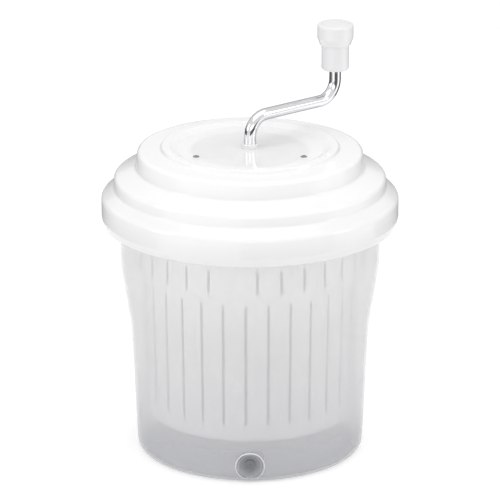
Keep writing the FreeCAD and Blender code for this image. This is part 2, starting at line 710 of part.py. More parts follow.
def make_carrier():
    distance = "gear_module * (sun_teeth + planet_teeth) / 2"
    body = new_body("planet_carrier")
    turn(body, "carrier_plate", [
        ("rod_radius", "hub_bottom"),
        ("carrier_hub", "hub_bottom"),
        ("carrier_hub", "carrier_bottom"),
        ("carrier_radius", "carrier_bottom"),
        ("carrier_radius", "carrier_top"),
        ("rod_radius", "carrier_top"),
    ])
    holes = circles(body, "pin_hole_rounds", "XY_Plane",
                    [(x, y, "planet_pin") for x, y in around(3, distance, 0)],
                    "carrier_bottom - 2")
    pocket(body, "pin_holes", holes, "12", reverse=True)
    windows = circles(body, "window_rounds", "XY_Plane",
                      [(x, y, "window_radius") for x, y in around(3, "window_circle", 60)],
                      "carrier_bottom - 2")
    pocket(body, "windows", windows, "12", reverse=True)
    turned = FreeCAD.Rotation(UP, number("crank_turned"))
    cross = turned.multVec(V(-number("carrier_hub") - 1, 0, number("cross_height")))
    place_primitive(body, "SubtractiveCylinder", "cross_hole",
                    {"Radius": "cross_radius", "Height": "carrier_hub * 2 + 2"},
                    cross, turned.multiply(SIDEWAYS))

    pins, clips = [], []
    for index in range(3):
        angle = math.radians(120 * index)
        place = V(number(distance) * math.cos(angle), number(distance) * math.sin(angle), 0)
        low, high = number("gear_bottom") - 1.8, number("carrier_top")
        pin = Part.makeCylinder(number("planet_pin"), high - low, place + V(0, 0, low))
        groove = Part.makeCylinder(number("planet_pin") + 1, 0.8, place + V(0, 0, low + 0.5))
        groove = groove.cut(Part.makeCylinder(number("planet_pin") - 0.8, 0.8, place + V(0, 0, low + 0.5)))
        pins.append(pin.cut(groove))
        clip = Part.makeCylinder(number("planet_pin") + 2.4, 0.8, place + V(0, 0, low + 0.5))
        clips.append(clip.cut(Part.makeCylinder(number("planet_pin") - 0.8, 0.8, place + V(0, 0, low + 0.5))))
    group("planet_pins", Part.makeCompound(pins))
    group("planet_clips", Part.makeCompound(clips))
    length = number("carrier_hub") * 2 - 1
    pin = Part.makeCylinder(number("cross_radius"), length,
                            V(-length / 2, 0, number("cross_height")), V(1, 0, 0))
    group("cross_pin", pin).Placement = FreeCAD.Placement(V(0, 0, 0), turned)


def make_crank():
    """Round bar bent to a vertical, a level arm and a vertical again, with a spigot for the knob."""
    body = new_body("crank_rod")
    section = circles(body, "rod_section", "XY_Plane", [("0", "0", "rod_radius")], "rod_bottom")
    spine = new_sketch(body, "rod_path", "XZ_Plane")
    reach, height, bend = number("arm_reach"), number("arm_height"), number("bend_radius")
    low, high = number("rod_bottom"), number("spigot_foot")
    diagonal = bend * (1 - math.sqrt(0.5))
    spine.addGeometry([
        Part.LineSegment(V(0, low, 0), V(0, height - bend, 0)),
        Part.Arc(V(0, height - bend, 0), V(diagonal, height - diagonal, 0), V(bend, height, 0)),
        Part.LineSegment(V(bend, height, 0), V(reach - bend, height, 0)),
        Part.Arc(V(reach - bend, height, 0), V(reach - diagonal, height + diagonal, 0),
                 V(reach, height + bend, 0)),
        Part.LineSegment(V(reach, height + bend, 0), V(reach, high, 0)),
    ], False)
    ends = [("0", "rod_bottom"), ("0", "arm_height - bend_radius"), None,
            ("bend_radius", "arm_height"), ("arm_reach - bend_radius", "arm_height"), None,
            ("arm_reach", "arm_height + bend_radius"), ("arm_reach", "spigot_foot")]
    for index, geometry, point in ((0, 0, 1), (1, 0, 2), (3, 2, 1), (4, 2, 2), (6, 4, 1), (7, 4, 2)):
        fix_point(spine, geometry, point, *ends[index])
    doc.recompute()
    pipe = body.newObject("PartDesign::AdditivePipe", "rod_bar")
    pipe.Profile = section
    pipe.Spine = (spine, [])
    doc.recompute()
    spigot = V(reach, 0, high - 1)
    place_primitive(body, "AdditiveCylinder", "rod_spigot",
                    {"Radius": "spigot_radius", "Height": "spigot_top - spigot_foot + 1"}, spigot)
    place_primitive(body, "SubtractiveCylinder", "spigot_thread", {"Radius": "2.5", "Height": "14"},
                    V(reach, 0, number("spigot_top") - 12))
    place_primitive(body, "SubtractiveCylinder", "rod_cross_hole", {"Radius": "cross_radius", "Height": "20"},
                    V(-10, 0, number("cross_height")), SIDEWAYS)
    body.Placement = FreeCAD.Placement(V(0, 0, 0), FreeCAD.Rotation(UP, number("crank_turned")))
    doc.recompute()


def make_knob():
    knob = new_body("knob")
    gap = "spigot_radius + run_gap + 3"
    turn(knob, "knob_shell", [
        ("rod_radius + 0.6", "knob_bottom"),
        ("knob_stem - 4", "knob_bottom"),
        ("knob_stem", "knob_bottom + 4"),
        ("knob_stem", "knob_neck"),
        ("knob_head - 1.5", "knob_neck + 2.5"),
        ("knob_head", "knob_neck + 5"),
        ("knob_head", "knob_top"),
        ("knob_head - 7", "knob_top"),
        ("knob_head - 7", "spigot_top"),
        (gap, "spigot_top"),
        (gap, "spigot_foot + 0.5"),
        ("rod_radius + 0.6", "spigot_foot + 0.5"),
    ])
    round_rings(knob, "stem_edge", 2.5, [("knob_stem", "knob_bottom + 4"), ("knob_stem", "knob_neck")])
    round_rings(knob, "head_edge", 2.5, [("knob_head", "knob_top")])

    cap = new_body("knob_cap")
    turn(cap, "cap", [
        ("0", "knob_top - 3"),
        ("knob_head - 7", "knob_top - 3"),
        ("knob_head - 7", "knob_top"),
        ("knob_head - 12", "knob_top + 0.8"),
        ("0", "knob_top + 1"),
    ])
    sleeve = new_body("knob_sleeve")
    turn(sleeve, "sleeve", [
        ("spigot_radius + run_gap", "spigot_foot + 0.5"),
        (gap, "spigot_foot + 0.5"),
        (gap, "spigot_top - 0.4"),
        ("spigot_radius + run_gap", "spigot_top - 0.4"),
    ])
    washer = new_body("knob_washer")
    turn(washer, "washer", [
        ("2.6", "spigot_top + 0.1"),
        ("spigot_radius + 6", "spigot_top + 0.1"),
        ("spigot_radius + 6", "spigot_top + 1.6"),
        ("2.6", "spigot_top + 1.6"),
    ])
    screw = new_body("knob_screw")
    turn(screw, "screw", [
        ("0", "spigot_top - 11"),
        ("2.5", "spigot_top - 11"),
        ("2.5", "spigot_top + 1.6"),
        ("5", "spigot_top + 1.6"),
        ("5", "spigot_top + 5"),
        ("0", "spigot_top + 5"),
    ])
    angle = math.radians(number("crank_turned"))
    place = V(number("arm_reach") * math.cos(angle), number("arm_reach") * math.sin(angle), 0)
    for piece in (knob, cap, sleeve, washer, screw):
        piece.Placement = FreeCAD.Placement(place, FreeCAD.Rotation())


# ---------------------------------------------------------------- drive disc

def make_drive():
    body = new_body("drive_disc")
    turn(body, "disc_shell", [
        ("0", "shaft_bottom"),
        ("disc_hub", "shaft_bottom"),
        ("disc_hub + 3", "shaft_bottom + 2"),
        ("disc_rim - 4", "basket_rim + 5"),
        ("disc_rim - 3", "lug_bottom"),
        ("disc_rim", "lug_bottom"),
        ("disc_rim", "basket_rim + 8"),
        ("disc_hub + 3", "shaft_bottom + 6"),
        ("disc_hub", "hex_top - 0.2"),
        ("0", "hex_top - 0.2"),
    ])
    round_rings(body, "disc_edge", 3, [("disc_rim", "basket_rim + 8")])
    place_primitive(body, "SubtractivePrism", "hex_socket",
                    {"Circumradius": "shaft_hex", "Height": "16"}, V(0, 0, number("shaft_bottom") - 1))
    lug = outline(body, "lug_outline", "YZ_Plane", [
        ("-lug_width / 2", "lug_bottom"), ("lug_width / 2", "lug_bottom"),
        ("lug_width / 2", "lug_top"), ("-lug_width / 2", "lug_top")], "disc_rim - 2")
    lug_feature = pad(body, "lug", lug, "14")
    repeat(body, "lugs", lug_feature, "lug_count")
    vents = circles(body, "vent_rounds", "XY_Plane",
                    [(x, y, "vent_radius") for x, y in around(6, "vent_circle", 30)], "lug_bottom")
    pocket(body, "vents", vents, "50", reverse=True)

    washer = new_body("drive_washer")
    turn(washer, "washer", [
        ("3.2", "shaft_bottom - 1.5"),
        ("disc_hub - 3", "shaft_bottom - 1.5"),
        ("disc_hub - 3", "shaft_bottom"),
        ("3.2", "shaft_bottom"),
    ])
    head = number("shaft_bottom") - 1.5
    bolt = hexagon(5.8, head - 4, head).fuse(Part.makeCylinder(3, 18, V(0, 0, head - 1)))
    group("drive_bolt", bolt.removeSplitter())


# ---------------------------------------------------------------- build, check and write

make_tub()
make_drain()
make_pivot()
make_basket()
make_lid()
make_housing()
make_gears()
make_carrier()
make_crank()
make_knob()
make_drive()
doc.recompute()

for item in doc.Objects:
    if "Invalid" in item.State or "Error" in item.State:
        raise RuntimeError(f"{item.Label} failed: {item.State}")
for piece in pieces:
    if piece.Shape.isNull() or not piece.Shape.isValid():
        raise RuntimeError(f"{piece.Label} has no valid shape")

os.makedirs("parts", exist_ok=True)
for piece in pieces:
    piece.Shape.exportStep(f"parts/{piece.Label}.step")
    print(f"{piece.Label}: {len(piece.Shape.Solids)} solid(s), {piece.Shape.Volume / 1000:.1f} cm3")
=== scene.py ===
import json
import math

import bmesh
import bpy
from mathutils import Matrix, Vector


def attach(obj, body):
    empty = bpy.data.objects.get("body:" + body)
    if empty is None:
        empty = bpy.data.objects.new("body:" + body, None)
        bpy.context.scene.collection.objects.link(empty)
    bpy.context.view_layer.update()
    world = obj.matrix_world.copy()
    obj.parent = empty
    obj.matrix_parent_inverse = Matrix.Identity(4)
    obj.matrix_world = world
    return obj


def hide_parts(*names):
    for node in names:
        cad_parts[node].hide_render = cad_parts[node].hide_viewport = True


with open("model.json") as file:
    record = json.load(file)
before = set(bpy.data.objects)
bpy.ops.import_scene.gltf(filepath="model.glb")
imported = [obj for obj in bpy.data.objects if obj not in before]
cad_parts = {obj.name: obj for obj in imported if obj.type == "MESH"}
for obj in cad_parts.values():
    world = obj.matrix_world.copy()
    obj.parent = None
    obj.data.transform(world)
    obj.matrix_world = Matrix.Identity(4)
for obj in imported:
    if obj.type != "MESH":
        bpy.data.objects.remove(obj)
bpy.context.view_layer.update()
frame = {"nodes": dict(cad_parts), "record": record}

nodes = frame["nodes"]
scene = bpy.context.scene
scene.view_settings.view_transform = "Standard"  # keeps white plastic white
mm = 0.001
print("frame loaded:", len(nodes), "nodes")


# small helpers for material trees

def startMaterial(name):
    material = bpy.data.materials.new(name)
    material.use_nodes = True
    tree = material.node_tree
    coords = tree.nodes.new("ShaderNodeTexCoord").outputs["Object"]
    return material, tree, tree.nodes["Principled BSDF"], coords


def noiseField(tree, coords, scale, detail, rough, stretch=None):
    # scale is in features per metre, stretch squeezes the pattern along an axis
    if stretch:
        mapping = tree.nodes.new("ShaderNodeMapping")
        mapping.inputs["Scale"].default_value = stretch
        tree.links.new(coords, mapping.inputs["Vector"])
        coords = mapping.outputs["Vector"]
    noise = tree.nodes.new("ShaderNodeTexNoise")
    noise.inputs["Scale"].default_value = scale
    noise.inputs["Detail"].default_value = detail
    noise.inputs["Roughness"].default_value = rough
    tree.links.new(coords, noise.inputs["Vector"])
    return noise.outputs["Fac"]


def remap(tree, value, low, high, start=0.3, stop=0.7):
    node = tree.nodes.new("ShaderNodeMapRange")
    node.inputs["From Min"].default_value = start
    node.inputs["From Max"].default_value = stop
    node.inputs["To Min"].default_value = low
    node.inputs["To Max"].default_value = high
    tree.links.new(value, node.inputs["Value"])
    return node.outputs["Result"]


def mixColour(tree, factor, first, second):
    # each tone is a plain colour or another node's output
    node = tree.nodes.new("ShaderNodeMix")
    node.data_type = "RGBA"
    for name, tone in (("A", first), ("B", second)):
        socket = [entry for entry in node.inputs if entry.name == name and entry.type == "RGBA"][0]
        if hasattr(tone, "links"):
            tree.links.new(tone, socket)
        else:
            socket.default_value = (*tone, 1)
    tree.links.new(factor, node.inputs["Factor"])
    return [entry for entry in node.outputs if entry.type == "RGBA"][0]


def addBump(tree, shader, heights):
    # a stack of bumps, each a height field with its depth in metres
    normal = None
    for field, depth in heights:
        bump = tree.nodes.new("ShaderNodeBump")
        bump.inputs["Strength"].default_value = 1.0
        bump.inputs["Distance"].default_value = depth
        tree.links.new(field, bump.inputs["Height"])
        if normal:
            tree.links.new(normal, bump.inputs["Normal"])
        normal = bump.outputs["Normal"]
    tree.links.new(normal, shader.inputs["Normal"])


def edgeWear(tree):
    # 0 on open surfaces, rising along edges, from the angle between sharp and softened normals
    bevel = tree.nodes.new("ShaderNodeBevel")
    bevel.samples = wearLook["samples"]
    bevel.inputs["Radius"].default_value = wearLook["radius"]
    geometry = tree.nodes.new("ShaderNodeNewGeometry")
    dot = tree.nodes.new("ShaderNodeVectorMath")
    dot.operation = "DOT_PRODUCT"
    tree.links.new(bevel.outputs["Normal"], dot.inputs[0])
    tree.links.new(geometry.outputs["Normal"], dot.inputs[1])
    return remap(tree, dot.outputs["Value"], 0, wearLook["strength"], start=1.0, stop=wearLook["fullAt"])


# materials

wearLook = {"samples": 4, "radius": 0.0012, "strength": 0.5, "fullAt": 0.9}  # paler rubbed edges
# shadeBands give the plastic's colour at heights in metres: painted shade, darker low down on the tub and on
# the lid's lower skirt, lighter towards the tub's top
tubLook = {  # thin moulded polypropylene that lets the basket show
    "shadeBands": [(0.0, (0.50, 0.505, 0.525)), (0.045, (0.57, 0.575, 0.60)), (0.075, (0.63, 0.633, 0.645)),
              (0.22, (0.70, 0.702, 0.708)), (0.35, (0.84, 0.84, 0.842))],
    "patch": 0.05, "alpha": 0.36, "gloss": 0.3, "roughness": (0.28, 0.38),
    "waveDepth": 0.00003, "drawDepth": 0.000005, "grainDepth": 0.000001,
}
lidLook = {  # the same plastic, thicker, milkier and glossier
    "shadeBands": [(0.344, (0.78, 0.78, 0.785)), (0.385, (0.90, 0.90, 0.902)), (0.44, (0.94, 0.94, 0.942))],
    "patch": 0.02, "alpha": 0.82, "gloss": 0.5, "roughness": (0.11, 0.18),
    "waveDepth": 0.00003, "drawDepth": 0.000004, "grainDepth": 0.000001,
}
basketLook = {  # stiffer opaque basket, a little duller
    "shadeBands": [(0.05, (0.95, 0.95, 0.95)), (0.35, (0.95, 0.95, 0.95))],
    "patch": 0.03, "alpha": 0.92, "gloss": 0.4, "roughness": (0.38, 0.52),
    "waveDepth": 0.00003, "drawDepth": 0.000005, "grainDepth": 0.000003,
}
mouldLook = {  # what every moulding shares: patterns as (features per metre, detail, roughness)
    "tone": (9, 4, 0.6), "scuff": (60, 5, 0.65), "wave": (11, 1, 0.4), "draw": (260, 3, 0.5),
    "grain": (1500, 2, 0.5), "stretch": (1, 1, 0.4), "drawStretch": (1, 1, 0.03),
    "patchTone": (0.3, 0.3, 0.32), "scuffTone": (0.95, 0.95, 0.955), "scuffMix": 0.12,
    "scuffFrom": 0.58, "scuffTo": 0.75, "ior": 1.49,
}


# painted shade: colour set by height, darker towards the bottom where less light falls
def paintedShadeByHeight(tree, coords, shadeBands):
    split = tree.nodes.new("ShaderNodeSeparateXYZ")
    tree.links.new(coords, split.inputs["Vector"])
    ramp = tree.nodes.new("ShaderNodeValToRGB")
    while len(ramp.color_ramp.elements) < len(shadeBands):
        ramp.color_ramp.elements.new(1.0)
    for element, (height, colour) in zip(ramp.color_ramp.elements, shadeBands):
        element.position = height  # the ramp runs from the floor to one metre
        element.color = (*colour, 1)
    tree.links.new(split.outputs["Z"], ramp.inputs["Fac"])
    return ramp.outputs["Color"]


def mouldedPlastic(name, look):
    # slow waves from cooling, faint upright draw marks from the mould, fine grain and scuffs
    mould = mouldLook
    material, tree, shader, coords = startMaterial(name)
    # base colour is painted shade by height
    colour = paintedShadeByHeight(tree, coords, look["shadeBands"])
    tone = noiseField(tree, coords, *mould["tone"])
    colour = mixColour(tree, remap(tree, tone, 0, look["patch"]), colour, mould["patchTone"])
    scuff = noiseField(tree, coords, *mould["scuff"], stretch=mould["stretch"])
    rubbed = remap(tree, scuff, 0, mould["scuffMix"], start=mould["scuffFrom"], stop=mould["scuffTo"])
    colour = mixColour(tree, rubbed, colour, mould["scuffTone"])
    tree.links.new(colour, shader.inputs["Base Color"])
    tree.links.new(remap(tree, scuff, *look["roughness"]), shader.inputs["Roughness"])
    waves = noiseField(tree, coords, *mould["wave"], stretch=mould["stretch"])
    draw = noiseField(tree, coords, *mould["draw"], stretch=mould["drawStretch"])
    grain = noiseField(tree, coords, *mould["grain"])
    depths = look["waveDepth"], look["drawDepth"], look["grainDepth"]
    addBump(tree, shader, list(zip((waves, draw, grain), depths)))
    shader.inputs["Alpha"].default_value = look["alpha"]
    shader.inputs["Specular IOR Level"].default_value = look["gloss"]
    shader.inputs["IOR"].default_value = mould["ior"]
    return material


smallPartLook = {"tone": (40, 4, 0.6), "gloss": (120, 4, 0.6), "grain": (1400, 2, 0.5)}


def solidPlastic(name, colour, shade, roughness, grainDepth=0.00001, wear=None):
    # mottled tone and gloss, fine grain, and paler edges where hands rub it
    material, tree, shader, coords = startMaterial(name)
    tone = noiseField(tree, coords, *smallPartLook["tone"])
    base = mixColour(tree, remap(tree, tone, 0, 1), colour, shade)
    if wear:
        base = mixColour(tree, edgeWear(tree), base, wear)
    tree.links.new(base, shader.inputs["Base Color"])
    gloss = noiseField(tree, coords, *smallPartLook["gloss"])
    tree.links.new(remap(tree, gloss, *roughness), shader.inputs["Roughness"])
    addBump(tree, shader, [(noiseField(tree, coords, *smallPartLook["grain"]), grainDepth)])
    return material


chromeLook = {
    "smudge": (60, 5, 0.65), "bright": (0.88, 0.88, 0.89), "dull": (0.83, 0.835, 0.85),
    "roughness": (0.06, 0.10), "polish": (700, 3, 0.5), "polishDepth": 0.000001,
    "grazing": (0.30, 0.30, 0.32),  # darker where the bar turns away
}
steelLook = {
    "lines": (500, 3, 0.6), "lineStretch": (1, 1, 6), "lineDepth": 0.00002,
    "bright": (0.34, 0.34, 0.35), "dull": (0.25, 0.25, 0.26), "roughness": (0.24, 0.42),
}


def polishedChrome(name):
    # bright bar with faint polishing marks and a few dull smudges
    look = chromeLook
    material, tree, shader, coords = startMaterial(name)
    smudge = noiseField(tree, coords, *look["smudge"])
    colour = mixColour(tree, remap(tree, smudge, 0, 1), look["bright"], look["dull"])
    tree.links.new(colour, shader.inputs["Base Color"])
    tree.links.new(remap(tree, smudge, *look["roughness"]), shader.inputs["Roughness"])
    addBump(tree, shader, [(noiseField(tree, coords, *look["polish"]), look["polishDepth"])])
    shader.inputs["Metallic"].default_value = 1.0
    shader.inputs["Specular Tint"].default_value = (*look["grazing"], 1)
    return material


def turnedSteel(name):
    # fasteners and pins with the fine rings that a lathe leaves
    look = steelLook
    material, tree, shader, coords = startMaterial(name)
    lines = noiseField(tree, coords, *look["lines"], stretch=look["lineStretch"])
    colour = mixColour(tree, remap(tree, lines, 0, 1), look["bright"], look["dull"])
    tree.links.new(colour, shader.inputs["Base Color"])
    tree.links.new(remap(tree, lines, *look["roughness"]), shader.inputs["Roughness"])
    addBump(tree, shader, [(lines, look["lineDepth"])])
    shader.inputs["Metallic"].default_value = 1.0
    return material


finishes = {
    "tub": mouldedPlastic("tubPlastic", tubLook),
    "lid": mouldedPlastic("lidPlastic", lidLook),
    "basket": mouldedPlastic("basketPlastic", basketLook),
    "white_plastic": solidPlastic("housingPlastic", (0.84, 0.84, 0.84), (0.80, 0.80, 0.80), (0.4, 0.55)),
    "bush_plastic": solidPlastic("bushAcetal", (0.83, 0.83, 0.83), (0.79, 0.79, 0.79), (0.3, 0.42)),
    "gear_plastic": solidPlastic("gearAcetal", (0.80, 0.80, 0.75), (0.75, 0.75, 0.70), (0.35, 0.48)),
    "knob_plastic": solidPlastic("knobPlastic", (0.77, 0.77, 0.778), (0.75, 0.75, 0.758), (0.16, 0.26),
                                 0.000004, wear=(0.88, 0.88, 0.885)),
    # the drain outlet lining the recess: grey plastic kept dark so the recess reads shaded, partly its own
    # colour, partly painted shade
    "grey_plastic": solidPlastic("outletShadedPlastic", (0.33, 0.335, 0.35), (0.28, 0.285, 0.30), (0.34, 0.46),
                                 wear=(0.5, 0.5, 0.52)),
    "drain_plug": solidPlastic("plugRubber", (0.20, 0.205, 0.22), (0.17, 0.175, 0.185), (0.45, 0.6)),
    "rubber": solidPlastic("sealRubber", (0.035, 0.035, 0.036), (0.05, 0.05, 0.052), (0.6, 0.75), 0.00003),
    "chrome": polishedChrome("crankChrome"),
    "steel": turnedSteel("fastenerSteel"),
}
print("materials made:", len(finishes))


def giveFinish(piece, slotName):
    piece.data.materials.clear()
    piece.data.materials.append(finishes[slotName])


for part in frame["record"]["subparts"]:
    giveFinish(nodes[part["node"]], part["material_slot"])


# turned shapes: outlines are (radius, height, rounding) in millimetres

arcSteps = 6  # segments in each rounding
longestRun = 26.0  # straight runs are split to about this length
sharpAngle = 32  # degrees, edges past this stay crisp
axisGap = 0.01  # keeps a turned tool's inner wall just off its axis


def roundedOutline(corners, hold):
    # hold is how far from each rounding a straight run gets its first point
    points = []
    count = len(corners)
    cut = []
    for index, (radius, height, rounding) in enumerate(corners):
        here = Vector((radius, height))
        before = (Vector(corners[index - 1][:2]) - here).normalized()
        after = (Vector(corners[(index + 1) % count][:2]) - here).normalized()
        opening = before.angle(after)
        reach = rounding / math.tan(opening / 2) if rounding else 0.0
        cut.append((here, before, after, opening, reach, rounding))
    for index, (here, before, after, opening, reach, rounding) in enumerate(cut):
        start, stop = here + before * reach, here + after * reach
        if rounding:
            centre = here + (before + after).normalized() * (rounding / math.sin(opening / 2))
            first, last = start - centre, stop - centre
            swing = first.angle_signed(last)
            for step in range(arcSteps + 1):
                points.append(centre + Matrix.Rotation(-swing * step / arcSteps, 2) @ first)
        else:
            points.append(here)
        nextHere, nextBefore, _, _, nextReach, _ = cut[(index + 1) % count]
        goal = nextHere + nextBefore * nextReach
        run = (goal - stop).length
        if run > 3 * hold:
            points.append(stop + after * hold)
            middle = max(1, math.ceil((run - 2 * hold) / longestRun))
            for step in range(1, middle):
                points.append(stop + after * (hold + (run - 2 * hold) * step / middle))
            points.append(goal - after * hold)
    return points


def turnedMesh(name, corners, sides, hold):
    points = roundedOutline(corners, hold)
    area = sum(a.x * b.y - b.x * a.y for a, b in zip(points, points[1:] + points[:1]))
    if area < 0:
        points.reverse()
    rings = len(points)
    verts, faces = [], []
    for side in range(sides):
        angle = 2 * math.pi * side / sides
        for point in points:
            verts.append((point.x * mm * math.cos(angle), point.x * mm * math.sin(angle), point.y * mm))
    for side in range(sides):
        here, there = side * rings, (side + 1) % sides * rings
        for ring in range(rings):
            after = (ring + 1) % rings
            faces.append((here + ring, there + ring, there + after, here + after))
    mesh = bpy.data.meshes.new(name)
    mesh.from_pydata(verts, [], faces)
    return mesh


def newPiece(name, mesh):
    piece = bpy.data.objects.new(name, mesh)
    scene.collection.objects.link(piece)
    return piece


def turnedPiece(name, corners, sides, hold=1.2):
    return newPiece(name, turnedMesh(name, corners, sides, hold))


def settle(piece):
    # bake the live modifiers into a plain mesh
    bpy.context.view_layer.update()
    depsgraph = bpy.context.evaluated_depsgraph_get()
    mesh = bpy.data.meshes.new_from_object(piece.evaluated_get(depsgraph))
    piece.modifiers.clear()
    piece.data = mesh


def smooth(piece):
    piece.data.shade_smooth()
    piece.data.set_sharp_from_angle(angle=math.radians(sharpAngle))


def faceOutwards(mesh, mergeWithin=0.0):
    # turn every face to look out, after closing any gap narrower than mergeWithin
    work = bmesh.new()
    work.from_mesh(mesh)
    if mergeWithin:
        bmesh.ops.remove_doubles(work, verts=work.verts, dist=mergeWithin)
    bmesh.ops.recalc_face_normals(work, faces=work.faces)
    work.to_mesh(mesh)
    work.free()


def shift(piece, offset, turn=None):
    piece.data.transform(Matrix.Translation(Vector(offset) * mm) @ (turn or Matrix.Identity(4)))


def combine(piece, tool, operation):
    boolean = piece.modifiers.new(operation, "BOOLEAN")
    boolean.operation = operation
    boolean.solver = "EXACT"
    boolean.object = tool
    settle(piece)
    bpy.data.objects.remove(tool)


def finishPiece(piece, body, slotName, *replaced):
    smooth(piece)
    giveFinish(piece, slotName)
    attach(piece, body)
    if replaced:
        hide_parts(*replaced)
    piece.visible_shadow = slotName not in ("tub", "lid", "basket")  # milky plastic passes the light on
    print("made", piece.name, len(piece.data.polygons), "faces")


# tub

tubShape = {
    "corners": [
        (5.2, 42, 0), (14, 42, 1), (30, 4, 3), (140, 4, 3), (146, 0, 2), (165, 0, 12),
        (172.9, 174, 160), (174.3, 191, 160), (186.4, 269, 160), (188, 287, 150), (188, 369, 6),
        (203, 380, 3), (203, 386, 1), (200, 386, 1), (200, 381.8, 1.2), (185, 370.8, 4),
        (185, 287, 150), (183.4, 269, 160), (171.3, 191, 160), (169.9, 174, 160), (162, 4, 9),
        (147, 4, 2), (141, 8, 2), (36, 8, 4), (18, 46, 2), (5.2, 46, 0.4),
    ],
    "sides": 192, "drainHeight": 25.5,
    # each drain tool is an outline of (radius, distance out from the tub's axis)
    "cup": [(axisGap, 150), (22, 150), (22, 163.5), (axisGap, 163.5)],
    "recess": [(axisGap, 155.5), (12.5, 155.5), (21.5, 167.5), (23, 169.5), (axisGap, 169.5)],
    "hole": [(axisGap, 140), (9.5, 140), (9.5, 158), (axisGap, 158)],
    "toolSides": 64, "mergeWithin": 0.03,
}
drainFrame = Matrix.Rotation(math.radians(90), 4, "X")  # +Z becomes -Y


def lyingTool(name):
    corners = [(radius, along, 0) for radius, along in tubShape[name]]
    tool = turnedPiece(name + "Tool", corners, tubShape["toolSides"])
    faceOutwards(tool.data, tubShape["mergeWithin"] * mm)
    shift(tool, (0, 0, tubShape["drainHeight"]), drainFrame)
    return tool


def makeTub():
    tub = turnedPiece("tub_mould", tubShape["corners"], tubShape["sides"])
    combine(tub, lyingTool("cup"), "UNION")
    combine(tub, lyingTool("recess"), "DIFFERENCE")
    combine(tub, lyingTool("hole"), "DIFFERENCE")
    finishPiece(tub, "tub_body", "tub", "tub")


# bead: the lip round the drain recess in the tub's wall, thickened at the top and given the lid's paler
# finish: partly a real lip, partly a painted highlight where light from above catches it

beadShape = {
    "ringRadius": 20.6, "lift": 0.2, "thin": 0.3, "thick": 1.2, "around": 120, "sides": 12,
    "wallLow": 165.0, "wallHigh": 172.9, "highAt": 174.0, "footRounding": 12.0,
}


def wallRadius(height):
    # the tub's outer radius at this height, which draws in round the foot
    look = beadShape
    radius = look["wallLow"] + (look["wallHigh"] - look["wallLow"]) * height / look["highAt"]
    drop = look["footRounding"] - height
    if drop > 0:
        radius -= look["footRounding"] - math.sqrt(look["footRounding"] ** 2 - drop ** 2)
    return radius


def makeBead():
    look = beadShape
    line = []
    for step in range(look["around"]):
        angle = 2 * math.pi * step / look["around"]
        x = look["ringRadius"] * math.cos(angle)
        z = tubShape["drainHeight"] + look["ringRadius"] * math.sin(angle)
        line.append(Vector((x, -math.sqrt(wallRadius(z) ** 2 - x ** 2) - look["lift"], z)))
    middle = Vector((0, 0, tubShape["drainHeight"]))
    verts, faces = [], []
    for step, (here, before, after) in enumerate(zip(line, line[-1:] + line[:-1], line[1:] + line[:1])):
        # thicker at the top so only the lit upper half shows: painted highlight
        share = 0.5 + 0.5 * math.sin(2 * math.pi * step / look["around"])  # 1 at the top, 0 at the bottom
        thickness = look["thin"] + (look["thick"] - look["thin"]) * share
        along = (after - before).normalized()
        outward = here - middle
        outward.y = 0
        across = along.cross(outward).normalized()
        outward = across.cross(along).normalized()
        for side in range(look["sides"]):
            angle = 2 * math.pi * side / look["sides"]
            verts.append((here + thickness * (outward * math.cos(angle) + across * math.sin(angle))) * mm)
    for step in range(look["around"]):
        here, there = step * look["sides"], (step + 1) % look["around"] * look["sides"]
        for side in range(look["sides"]):
            after = (side + 1) % look["sides"]
            faces.append((here + side, here + after, there + after, there + side))
    mesh = bpy.data.meshes.new("drain_lip_highlight")
    mesh.from_pydata(verts, [], faces)
    faceOutwards(mesh)
    # the lid's paler, more opaque finish makes the ring read as a bright crescent: painted highlight
    finishPiece(newPiece("drain_lip_highlight", mesh), "tub_body", "lid")


# lid

lidShape = {
    "corners": [
        (212, 344, 0.8), (215, 355, 12), (215, 383, 8), (197.5, 397, 4), (196.5, 413, 7),
        (165.5, 426, 4), (162.5, 452, 6.5), (130, 453.5, 2), (127, 459, 2), (117, 459, 2),
        (107, 454, 5), (10.5, 454, 0.4), (10.5, 451, 0), (107.8, 451, 1), (118, 456.5, 1),
        (125, 456.5, 1), (128, 451, 1), (160, 449.5, 4), (163, 424.4, 1), (194, 411.4, 4),
        (195, 395.8, 1), (199.5, 392.2, 0.6), (199.5, 386, 0.3), (203.4, 386, 0.3), (203.4, 382, 0.3),
        (205.4, 382, 0.3), (205.4, 387.48, 0.3), (212.5, 381.8, 5), (212.5, 355, 9), (209.5, 344, 0.8),
    ],
    "sides": 192,
    "screwAzimuths": (90, 210, 330), "screwCircle": 89.0, "seatSides": 32,
    "seatCorners": [(axisGap, 446, 0), (2.4, 446, 0), (2.4, 452.6, 0), (4.8, 452.6, 0), (4.8, 458, 0),
                    (axisGap, 458, 0)],
}


def screwTool(azimuth):
    look = lidShape
    tool = turnedPiece("seatTool", look["seatCorners"], look["seatSides"])
    angle = math.radians(azimuth)
    shift(tool, (look["screwCircle"] * math.cos(angle), look["screwCircle"] * math.sin(angle), 0))
    return tool


def makeLid():
    lid = turnedPiece("lid_mould", lidShape["corners"], lidShape["sides"])
    for azimuth in lidShape["screwAzimuths"]:
        combine(lid, screwTool(azimuth), "DIFFERENCE")
    finishPiece(lid, "lid_body", "lid", "lid")


# basket, with its slots cut by a geometry nodes tree

